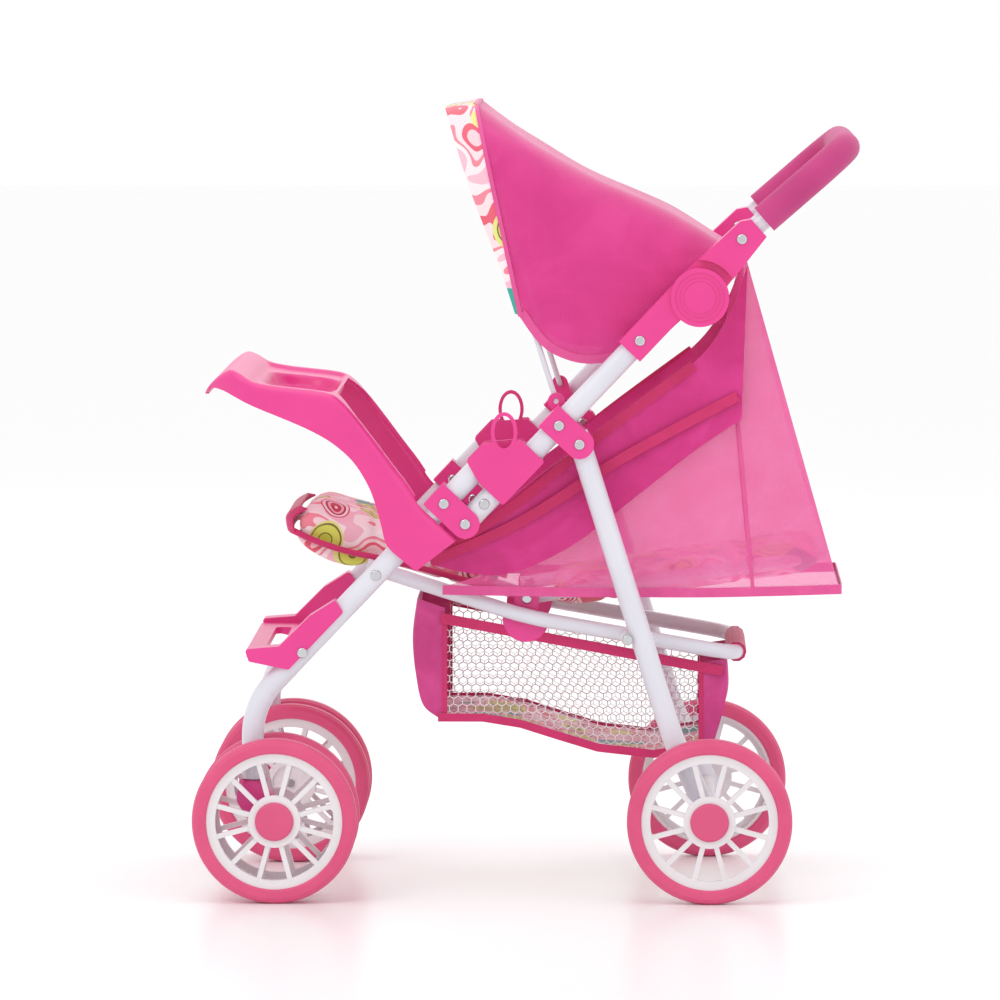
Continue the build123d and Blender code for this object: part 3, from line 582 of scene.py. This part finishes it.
def makeTent():
    cloth, cut = sheetFrom("backTent", 150, 60, tentPlace, 0.5)
    dress(cloth, "sheerPinkNylon", ["back_tent"])
    trims = []

    def hemCentre(along):
        point = tentPlace(along, 0.0)
        sign = Vector((math.copysign(0.7, point.x), 0.0, 3.4))
        if abs(point.x) < tent["half"] - 1.5:
            sign = Vector((0, 0.7, 3.4))
        return point + sign

    def hemOut(along):
        point = tentPlace(along, 0.0)
        inSide = abs(point.x) >= tent["half"] - 1.5
        return (math.copysign(1, point.x), 0, 0) if inSide else (0, 1, 0)
    trims.append(stripFrom("backTentHem", hemCentre, tent["hemWidth"], 150, hemOut, 0.8))
    for name, side, share in zip(("tentSeamLeft", "tentSeamRight"), (1, -1), tent["seamAt"]):
        def centre(along, side=side, share=share):
            return tentPlace(share, 0.02 + 0.94 * along) + Vector((side * 0.6, 0, 0))
        trims.append(stripFrom(name, centre, tent["seamWidth"], 40,
                               lambda along, side=side: (side, 0, 0), 0.8))
    for trim in trims:
        dress(trim, "rosePinkTape")
    for piece in [cloth] + trims:
        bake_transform(piece)


makeTent()
print("back tent made")


# padded pieces: a block shaped by its top and bottom lines, then blown up as cloth

def padFrom(name, top, bottom, half, cells, edge=0.55):
    # top and bottom are lists of (y, z) from front to rear
    bpy.ops.mesh.primitive_cube_add(size=2)
    piece = bpy.context.object
    piece.name = name
    bpy.ops.object.mode_set(mode="EDIT")
    bpy.ops.mesh.select_all(action="SELECT")
    bpy.ops.mesh.subdivide(number_cuts=cells)
    bpy.ops.object.mode_set(mode="OBJECT")
    for vertex in piece.data.vertices:
        across, along, up = vertex.co
        share = (along + 1) / 2
        high, low = smoothBetween(top, share), smoothBetween(bottom, share)
        middle = [(high[i] + low[i]) / 2 for i in (0, 1)]
        rim = max(abs(across), abs(along))
        thin = 1 - (1 - edge) * max(0, (rim - 0.72) / 0.28) ** 2
        y = middle[0] + (high[0] - middle[0]) * up * thin
        z = middle[1] + (high[1] - middle[1]) * up * thin
        vertex.co = mm(half * across * (1 - 0.02 * (1 - abs(along))), y, z)
    return piece


def puff(piece, voxel, pressure, cap):
    # the padding swells the sewn cover: cloth with air inside, then held to a few millimetres
    applyModifiers(piece)
    piece.data.remesh_voxel_size = voxel / 1000
    bpy.ops.object.voxel_remesh()
    before = [vertex.co.copy() for vertex in piece.data.vertices]
    cloth = piece.modifiers.new("Cloth", "CLOTH")
    cloth.settings.quality = 5
    cloth.settings.mass = 0.2
    cloth.settings.use_pressure = True
    cloth.settings.uniform_pressure_force = pressure
    cloth.settings.effector_weights.gravity = 0
    for moment in range(1, 21):
        bpy.context.scene.frame_set(moment)
    applyModifiers(piece)
    for vertex, start in zip(piece.data.vertices, before):
        move = vertex.co - start
        if move.length > cap / 1000:
            vertex.co = start + move.normalized() * cap / 1000
    bpy.context.scene.frame_set(1)
    softer = piece.modifiers.new("soften", "SMOOTH")
    softer.iterations = 2
    finer = piece.modifiers.new("finer", "SUBSURF")
    finer.levels = finer.render_levels = 1
    applyModifiers(piece)
    smooth(piece, 180)


def channels(piece, lines, depth, width):
    # sewn channels across a pad: dips at given y places, in mm
    for vertex in piece.data.vertices:
        for y in lines:
            gap = abs(vertex.co.y * 1000 - y)
            if gap < width * 3:
                dip = depth * math.exp(-(gap / width) ** 2)
                vertex.co -= vertex.normal * dip / 1000


seat = {
    "top": [(-171, 279), (-160, 284.5), (-138, 278), (-108, 269), (-60, 247.5), (-18, 234.5)],
    "bottom": [(-172, 266), (-158, 257), (-136, 249.5), (-106, 244.5), (-60, 232), (-18, 221)],
    "piping": [(-18, 221), (-60, 233), (-106, 244.5), (-134, 250), (-156, 257.5), (-170, 264)],
    "half": 65,
    "bindingFoot": (-176.2, 265.5),
    "bindingHigh": 17.5,
    "bindingRoll": 9.0,
    "edge": 0.72,
    "pipingRadius": 2.4,
    "channels": [-112, -62],
}
apron = {
    "top": [(-171, 267), (-158, 261.5), (-136, 253), (-116, 247)],
    "bottom": [(-170, 259), (-156, 249), (-132, 239), (-117, 241)],
    "half": 62,
    "edge": 0.8,
}


def tubeAlong(name, points, radius, closed=False):
    # round cord or piping through points in mm
    curve = bpy.data.curves.new(name, "CURVE")
    curve.dimensions = "3D"
    curve.bevel_depth = radius / 1000
    curve.bevel_resolution = 3
    curve.use_fill_caps = True
    spline = curve.splines.new("NURBS")
    spline.points.add(len(points) - 1)
    for place, point in zip(spline.points, points):
        place.co = (*mm(*point), 1.0)
    spline.use_cyclic_u = closed
    spline.order_u = 3
    spline.use_endpoint_u = not closed
    piece = bpy.data.objects.new(name, curve)
    bpy.context.collection.objects.link(piece)
    pick(piece)
    bpy.ops.object.convert(target="MESH")
    piece = bpy.context.object
    piece.name = name
    outwards(piece)
    smooth(piece, 60)
    return piece


def makeSeat():
    pad = padFrom("seatPad", seat["top"], seat["bottom"], seat["half"], 12, seat["edge"])
    puff(pad, 5, 4, 5)
    channels(pad, seat["channels"], 2.2, 3.0)
    dress(pad, "flowerPrintSeat", ["seat_pad"])
    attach(pad, "seat_frame")
    flap = padFrom("kneeFlap", apron["top"], apron["bottom"], apron["half"], 10, apron["edge"])
    puff(flap, 4, 3, 3)
    dress(flap, "flowerPrint")
    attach(flap, "seat_frame")
    reach = seat["half"] + 0.6
    left = [(reach, y, z) for y, z in seat["piping"]]
    right = [(-x, y, z) for x, y, z in left[::-1]]
    nose = [(reach - 6, -175.5, 266), (0, -176.5, 266.5), (-reach + 6, -175.5, 266)]
    piping = tubeAlong("seatPiping", left + nose + right, seat["pipingRadius"])

    def frontPlace(across, along):
        # a bound front edge that turns round each corner and rolls over the top of the pad
        x = (2 * along - 1) * (seat["half"] + 1.5)
        turn = max(0, abs(2 * along - 1) - 0.9) / 0.1
        roll = max(0, across - 0.5) / 0.5
        foot, low = seat["bindingFoot"]
        y = foot - 1.4 * math.sin(math.pi * across) + 5.0 * turn ** 1.6 + seat["bindingRoll"] * roll ** 2
        return Vector((x, y, low + seat["bindingHigh"] * across - 1.5 * turn))
    binding = sheetFrom("seatBinding", 12, 90, frontPlace, 1.6)[0]
    for piece in (piping, binding):
        dress(piece, "crimsonTape")
        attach(piece, "seat_frame")


backPad = {
    "angle": 8.0,
    "pivot": (-0.8, 216.4),
    "from": 16,
    "to": 219,
    "half": 71,
    "thick": (-7.5, 8.5),
    "edge": 0.7,
    "channels": [58, 108, 158],
}


def makeBackPad():
    turn = math.radians(backPad["angle"])
    ahead, up = (math.cos(turn), math.sin(turn)), (-math.sin(turn), math.cos(turn))

    def line(offset):
        out = []
        for part in range(6):
            far = backPad["from"] + (backPad["to"] - backPad["from"]) * part / 5
            out.append(tuple(backPad["pivot"][i] + ahead[i] * far + up[i] * offset for i in (0, 1)))
        return out
    low, high = backPad["thick"]
    pad = padFrom("backrestPad", line(high), line(low), backPad["half"], 12, backPad["edge"])
    puff(pad, 5, 4, 4)
    channels(pad, backPad["channels"], 1.8, 3.0)
    dress(pad, "flowerPrint", ["backrest_pad"])
    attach(pad, "backrest")


makeSeat()
makeBackPad()
print("pads made")


# basket: nylon ends, hexagonal net sides, printed floor, bound edges

basket = {
    "half": 73.2,
    "top": [(-70, 203), (142, 163.5)],
    "floor": [(-66, 128.5), (-33, 128.5), (-5, 124), (22, 115.5), (51.6, 106.5), (92.4, 102), (133, 109)],
    "frontEdge": [(-66, 128.5), (-77.5, 138), (-82.5, 160), (-84, 188), (-81, 216)],
    "rearEdge": [(136, 109), (142.5, 130), (146.5, 150), (146, 172)],
    "frontGusset": -61,
    "rearGusset": 127,
    "cell": 6.4,
    "net": 0.8,
    "topHem": 7.5,
    "floorHem": 6.0,
    "hemLift": 1.8,
    "seam": 3.5,
    "sleeve": [(-64, 153, 176.5), (-20, 153, 176.3), (20, 153, 176.7), (64, 153, 176.5)],
    "sleeveRadius": 7.4,
}


def basketTop(y):
    (y0, z0), (y1, z1) = basket["top"]
    return z0 + (z1 - z0) * (y - y0) / (y1 - y0)


def basketFloor(y):
    points = basket["floor"]
    for (y0, z0), (y1, z1) in zip(points, points[1:]):
        if y <= y1:
            return z0 + (z1 - z0) * (y - y0) / (y1 - y0)
    return points[-1][1]


def endPanel(name, edge, gussetY, lift):
    # one nylon end with a gusset round each side
    half = basket["half"]
    away = 1 if gussetY > 0 else -1

    def place(across, along):
        gusset = 0.16
        yEnd, zEnd = smoothBetween(edge, along)
        if across < gusset or across > 1 - gusset:
            side = 1 if across < gusset else -1
            run = across / gusset if side == 1 else (1 - across) / gusset
            low = basketFloor(gussetY) + 0.6
            zSeam = low + (basketTop(gussetY) + lift - low) * along
            y = gussetY + (yEnd - gussetY) * run
            crease = math.sin(math.pi * run) * math.sin(math.pi * along) * (1.4 + math.sin(along * 9))
            return Vector((side * (half - crease), y, zSeam + (zEnd - zSeam) * run))
        run = (across - gusset) / (1 - 2 * gusset)
        bulge = 3.0 * math.sin(math.pi * run) * math.sin(math.pi * along)
        crease = 0.8 * math.sin(run * 15 + along * 5) * math.sin(math.pi * along)
        return Vector((half * (1 - 2 * run), yEnd - away * (bulge + crease), zEnd))
    panel, cut = sheetFrom(name, 90, 30, place, 0.6)
    dress(panel, "basketNylon")
    return panel


def makeNet(name, side):
    # one hexagon, repeated in two staggered rows, wired and cut to the side's outline
    cell = basket["cell"]
    radius = cell / math.sqrt(3)
    span = 212 / cell
    bpy.ops.mesh.primitive_circle_add(vertices=6, radius=radius / 1000, fill_type="NGON",
                                      rotation=(0, 0, 0), location=(0, 0, 0))
    net = bpy.context.object
    net.name = name
    bpy.ops.object.mode_set(mode="EDIT")
    bpy.ops.mesh.select_all(action="SELECT")
    bpy.ops.mesh.duplicate_move(TRANSFORM_OT_translate={"value": mm(cell / 2, radius * 1.5, 0)})
    bpy.ops.object.mode_set(mode="OBJECT")
    for axis, count, step in ((0, int(span) + 2, cell), (1, 14, radius * 3)):
        rows = net.modifiers.new("rows", "ARRAY")
        rows.count = count
        rows.use_relative_offset = False
        rows.use_constant_offset = True
        offset = [0, 0, 0]
        offset[axis] = step / 1000
        rows.constant_offset_displace = offset
        rows.use_merge_vertices = True
        rows.merge_threshold = 0.00004
    applyModifiers(net)
    outwards(net)
    for vertex in net.data.vertices:
        y = basket["frontGusset"] - 3 + vertex.co.x * 1000
        z = 96 + vertex.co.y * 1000
        sag = 2.6 * math.sin(math.pi * (y + 60) / 190) * math.sin(math.pi * (z - 95) / 100)
        vertex.co = mm(side * (basket["half"] - max(0, sag)), y, z)
    pick(net)
    top, floor = basket["top"], basket["floor"]
    cuts = [((0, basket["frontGusset"], 150), (0, -1, 0)), ((0, basket["rearGusset"], 150), (0, 1, 0))]
    slope = Vector((0, top[0][1] - top[1][1], top[1][0] - top[0][0]))
    cuts.append(((0, top[0][0], top[0][1] - 1), slope))
    for (y0, z0), (y1, z1) in ((floor[0], floor[-2]), (floor[-2], floor[-1])):
        cuts.append(((0, y0, z0 + 1), Vector((0, z1 - z0, y0 - y1))))
    bpy.ops.object.mode_set(mode="EDIT")
    for point, normal in cuts:
        bpy.ops.mesh.select_all(action="SELECT")
        bpy.ops.mesh.bisect(plane_co=mm(*point), plane_no=Vector(normal).normalized(), clear_outer=True)
    bpy.ops.object.mode_set(mode="OBJECT")
    for vertex in net.data.vertices:
        vertex.co.z = max(vertex.co.z, (basketFloor(vertex.co.y * 1000) + 1) / 1000)
    wire = net.modifiers.new("threads", "WIREFRAME")
    wire.thickness = basket["net"] / 1000
    wire.use_even_offset = False
    applyModifiers(net)
    smooth(net, 60)
    dress(net, "whiteNetCord")
    return net


def hemLine(name, points, widthMm, material, lift=0.3, thick=1.0):
    # a bound edge on both sides of the basket, along (y, z) points
    made = []
    for label, side in (("Left", 1), ("Right", -1)):
        def centre(along, side=side):
            y, z = between(points, along)
            return Vector((side * (basket["half"] + lift), y, z))
        hem = stripFrom(name + label, centre, widthMm, 30, lambda along, side=side: (side, 0, 0), thick)
        dress(hem, material)
        made.append(hem)
    return made


def makeBasket():
    pieces = []
    pieces.append(endPanel("basketFront", basket["frontEdge"], basket["frontGusset"], 8))
    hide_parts("basket")
    pieces.append(endPanel("basketRear", basket["rearEdge"], basket["rearGusset"], 3))

    def floorPlace(across, along):
        y = -65.5 + 200 * along
        dip = 2.5 * math.sin(math.pi * across) * math.sin(math.pi * along)
        return Vector((basket["half"] * (1 - 2 * across) * 0.995, y, basketFloor(y) + 0.4 - dip))
    floor, cut = sheetFrom("basketFloor", 20, 50, floorPlace, 0.8)
    dress(floor, "flowerPrint")
    pieces.append(floor)
    for name, side in (("basketNetLeft", 1), ("basketNetRight", -1)):
        pieces.append(makeNet(name, side))
    front, rear, lift = basket["frontGusset"], basket["rearGusset"], basket["hemLift"]
    top = [(y, basketTop(y)) for y in (front - 3, rear + 16)]
    pieces += hemLine("basketTopHem", top, basket["topHem"], "crimsonTape", lift)
    pieces += hemLine("basketFloorHem", basket["floor"], basket["floorHem"], "crimsonTape", lift)
    pieces += hemLine("basketFrontSeam", [(front, 130), (front, 203)], basket["seam"], "crimsonTape")
    pieces += hemLine("basketRearSeam", [(rear, 110), (rear, 166)], basket["seam"], "crimsonTape")
    for piece in pieces:
        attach(piece, "seat_frame")
        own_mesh(piece)
    # cloth sleeve that wraps the rear cross tube and carries the basket's rear end
    sleeve = tubeAlong("rearSleeve", basket["sleeve"], basket["sleeveRadius"])
    dress(sleeve, "crimsonTape")
    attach(sleeve, "seat_frame")


makeBasket()
print("basket made")


# play tray: one moulded skin from the front lip over the table and down both arms

tray = {
    "half": 132.4,
    "corner": 46,
    "front": -235.5,
    "round": 8.0,
    "top": [(-235.5, 368.0), (-231.5, 374.5), (-224.5, 381.5), (-216.0, 386.6), (-208.5, 384.4),
            (-199.0, 378.8), (-185.0, 375.8), (-168.0, 373.8), (-152.0, 372.0), (-141.0, 369.4),
            (-132.5, 363.0), (-122.0, 351.0), (-110.0, 335.5), (-98.5, 320.0), (-87.0, 305.0),
            (-76.2, 289.6), (-63.5, 277.6), (-49.5, 264.4)],
    "bottom": [(-235.5, 367.2), (-231.8, 373.0), (-221.5, 371.6), (-211.5, 366.8), (-203.0, 362.6),
               (-192.0, 358.0), (-178.0, 352.4), (-160.0, 344.6), (-145.0, 336.6), (-134.5, 328.8),
               (-126.0, 320.5), (-118.8, 310.2), (-113.0, 298.8), (-108.8, 286.0), (-105.4, 273.0),
               (-101.6, 259.6), (-91.4, 249.6), (-80.4, 240.8)],
    "rearEdge": 9.35,
    "flange": 11,
    "legs": 14.6,
    "recess": (81, -168.5, 27),
    "recessDepth": 9.0,
    "field": (120, -204, 3.2),
    "wall": 2.4,
}


def step(value, start, end):
    share = max(0.0, min(1.0, (value - start) / (end - start)))
    return share * share * (3 - 2 * share)


def trayPlace(across, along):
    top = smoothBetween(tray["top"], along)
    low = smoothBetween(tray["bottom"], along)
    depth = max(0.05, math.dist(top, low))
    fromFront = min(tray["corner"], top[0] - tray["front"])
    cornerLeft = math.sqrt(max(0, tray["corner"] ** 2 - (tray["corner"] - fromFront) ** 2))
    half = tray["half"] - tray["corner"] + cornerLeft
    curve = min(tray["round"], depth * 0.45)
    runs = [half - curve, curve * math.pi / 2, depth - curve]
    side = 1 if across >= 0.5 else -1
    spread = abs(across - 0.5) * 2
    if spread <= 0.72:
        x, drop = runs[0] * spread / 0.72, 0.0
    elif spread <= 0.84:
        turn = (spread - 0.72) / 0.12 * math.pi / 2
        x, drop = half - curve + curve * math.sin(turn), curve * (1 - math.cos(turn))
    else:
        x, drop = half, curve + runs[2] * (spread - 0.84) / 0.16
    y = top[0] + (low[0] - top[0]) * drop / depth
    z = top[1] + (low[1] - top[1]) * drop / depth
    if drop < curve and y < -138:
        wide, front, deep = tray["field"]
        inField = 1 - step(abs(x), wide - 6, wide)
        z -= deep * inField * step(y, front, front + 7) * (1 - step(y, -145, -139))
        length, middle, reach = tray["recess"]
        out = math.hypot(max(0, abs(x) - (length - reach)), y - middle)
        z -= tray["recessDepth"] * (1 - step(out, reach - 3.5, reach + 0.5))
    return Vector((side * x, y, z))


def makeTray():
    stations = len(tray["top"]) - 1
    bpy.ops.mesh.primitive_grid_add(x_subdivisions=236, y_subdivisions=170, size=2)
    piece = bpy.context.object
    piece.name = "playTray"
    shares = [((v.co.x + 1) / 2, (v.co.y + 1) / 2) for v in piece.data.vertices]
    for vertex, (across, along) in zip(piece.data.vertices, shares):
        vertex.co = mm(*trayPlace(across, along))
    bpy.ops.object.mode_set(mode="EDIT")
    bpy.ops.mesh.select_mode(type="FACE")
    bpy.ops.mesh.select_all(action="DESELECT")
    bpy.ops.object.mode_set(mode="OBJECT")
    for face in piece.data.polygons:
        along = sum(shares[i][1] for i in face.vertices) / len(face.vertices) * stations
        x = abs(sum(piece.data.vertices[i].co.x for i in face.vertices) / len(face.vertices)) * 1000
        width = tray["flange"] if along < tray["legs"] else 2.8
        # the table's rear corners are rounded into the arms
        corner = 26 * (1 - step(along, tray["rearEdge"], tray["rearEdge"] + 1.7))
        face.select = along > tray["rearEdge"] and x < tray["half"] - width - corner
    bpy.ops.object.mode_set(mode="EDIT")
    bpy.ops.mesh.delete(type="FACE")
    bpy.ops.mesh.select_mode(type="VERT")
    bpy.ops.object.mode_set(mode="OBJECT")
    outwards(piece)
    relax = piece.modifiers.new("relax", "SMOOTH")
    relax.iterations = 3
    wall = piece.modifiers.new("wall", "SOLIDIFY")
    wall.thickness = tray["wall"] / 1000
    wall.offset = -1
    applyModifiers(piece)
    smooth(piece, 45)
    dress(piece, "pinkMouldedPlastic", ["tray"])
    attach(piece, "front_frame")


makeTray()
print("play tray made")


# recline tabs: half discs under the seat tube, beside the recline pivot

reclineTab = {
    "centre": (-1.5, 201),
    "radius": 17,
    "x": 71.6,
    "thick": 4.4,
    "flatAt": 4.0,
    "edge": 0.9,
}


def makeTabs():
    for name, side in (("Left", 1), ("Right", -1)):
        bpy.ops.mesh.primitive_circle_add(vertices=48, radius=reclineTab["radius"] / 1000, fill_type="NGON")
        piece = bpy.context.object
        piece.name = "reclineTab" + name
        bpy.ops.object.mode_set(mode="EDIT")
        bpy.ops.mesh.select_all(action="SELECT")
        bpy.ops.mesh.bisect(plane_co=mm(0, reclineTab["flatAt"], 0), plane_no=(0, 1, 0),
                            clear_outer=True, use_fill=False)
        bpy.ops.mesh.select_all(action="SELECT")
        bpy.ops.mesh.extrude_region_move(
            TRANSFORM_OT_translate={"value": mm(0, 0, reclineTab["thick"])})
        bpy.ops.object.mode_set(mode="OBJECT")
        y0, z0 = reclineTab["centre"]
        for vertex in piece.data.vertices:
            y, z, x = vertex.co * 1000
            vertex.co = mm(side * (reclineTab["x"] + x), y0 + y, z0 + z * 0.98)
        outwards(piece)
        edge = piece.modifiers.new("edges", "BEVEL")
        edge.width = reclineTab["edge"] / 1000
        edge.segments = 3
        applyModifiers(piece)
        smooth(piece, 40)
        dress(piece, "pinkMouldedPlastic")
        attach(piece, "seat_frame")


makeTabs()
print("recline tabs made")


# floor, light and camera

studio = {
    "floorSize": 30,
    "aim": (0, 0, 0.28),
    "lamps": {  # name: place in metres, size, power
        "keyLight": ((2.2, -1.8, 2.8), 1.2, 16),
        "fillLight": ((2.4, 2.2, 1.4), 2.2, 5),
        "topLight": ((0.0, 0.2, 3.2), 2.0, 12),
        "backLight": ((-2.6, 0.4, 2.0), 2.2, 8),
    },
}


def makeStudio():
    bpy.context.scene.view_settings.view_transform = "Standard"
    bpy.ops.mesh.primitive_plane_add(size=studio["floorSize"], location=(0, 0, 0))
    ground = bpy.context.object
    ground.name = "floor"
    startMaterial("paleStudioFloor", "#FBFBFB", 0.3, {"Specular IOR Level": 0.4})
    ground.data.materials.append(materials["paleStudioFloor"])
    world = bpy.data.worlds.new("paleStudio")
    world.use_nodes = True
    world.node_tree.nodes["Background"].inputs["Color"].default_value = (1.0, 1.0, 1.0, 1.0)
    world.node_tree.nodes["Background"].inputs["Strength"].default_value = 1.0
    bpy.context.scene.world = world
    for name, (spot, size, power) in studio["lamps"].items():
        bpy.ops.object.light_add(type="AREA", location=spot)
        lamp = bpy.context.object
        lamp.name = name
        lamp.data.size = size
        lamp.data.energy = power
        aim = Vector(studio["aim"]) - Vector(spot)
        lamp.rotation_euler = aim.to_track_quat("-Z", "Y").to_euler()


camera = {
    "eye": (5500, 93, 705),
    "aim": (150, -18.9, 294.5),
    "view": 7.70,
    "sensor": 36,
}


def makeCamera():
    eye, aim = mm(*camera["eye"]), mm(*camera["aim"])
    bpy.ops.object.camera_add(location=eye)
    lens = bpy.context.object
    lens.rotation_euler = (aim - eye).to_track_quat("-Z", "Y").to_euler()
    lens.data.sensor_width = camera["sensor"]
    lens.data.angle = math.radians(camera["view"])
    lens.data.clip_end = 100
    bpy.context.scene.camera = lens


makeStudio()
makeCamera()
print("studio made")
